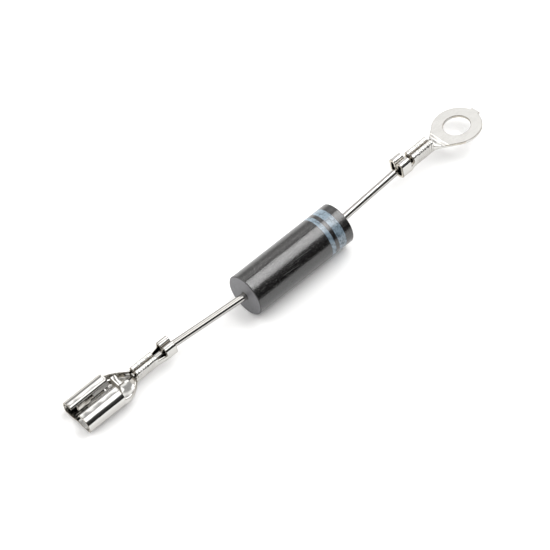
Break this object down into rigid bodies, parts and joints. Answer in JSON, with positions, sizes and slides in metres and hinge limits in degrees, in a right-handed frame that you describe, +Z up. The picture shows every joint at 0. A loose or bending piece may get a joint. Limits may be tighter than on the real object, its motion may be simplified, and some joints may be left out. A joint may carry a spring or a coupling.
{
  "type": "high-voltage diode",
  "caption": "High-voltage rectifier diode: banded moulded cylinder with axial wire leads crimped to a flat-tab receptacle and a ring terminal.",
  "frame": {"origin": "middle of the diode's footprint, on the table it lies on", "axes": "+X along the moulded body's axis, from the tab receptacle's end to the ring's end, and +Z up"},
  "size_m": [0.0932, 0.0102, 0.0078],
  "materials": {
    "moulded_epoxy": "satin black moulded epoxy with printed light grey bands",
    "tinned_wire": "tinned copper, bright",
    "tinned_sheet": "tinned brass, bright",
    "silicone": "white junction coating, hidden inside the body",
    "silicon": "grey silicon, hidden inside the body",
    "solder": "dull solder, hidden inside the body"
  },
  "bodies": {
    "root": {"epoxy_body": "moulded_epoxy", "anode_lead": "tinned_wire", "cathode_lead": "tinned_wire", "receptacle_terminal": "tinned_sheet", "ring_terminal": "tinned_sheet", "junction_coating": "silicone", "silicon_chip_01": "silicon", "silicon_chip_02": "silicon", "silicon_chip_03": "silicon", "silicon_chip_04": "silicon", "silicon_chip_05": "silicon", "silicon_chip_06": "silicon", "silicon_chip_07": "silicon", "silicon_chip_08": "silicon", "silicon_chip_09": "silicon", "silicon_chip_10": "silicon", "silicon_chip_11": "silicon", "silicon_chip_12": "silicon", "solder_disc_01": "solder", "solder_disc_02": "solder", "solder_disc_03": "solder", "solder_disc_04": "solder", "solder_disc_05": "solder", "solder_disc_06": "solder", "solder_disc_07": "solder", "solder_disc_08": "solder", "solder_disc_09": "solder", "solder_disc_10": "solder", "solder_disc_11": "solder", "solder_disc_12": "solder", "solder_disc_13": "solder"}
  },
  "joints": []
}
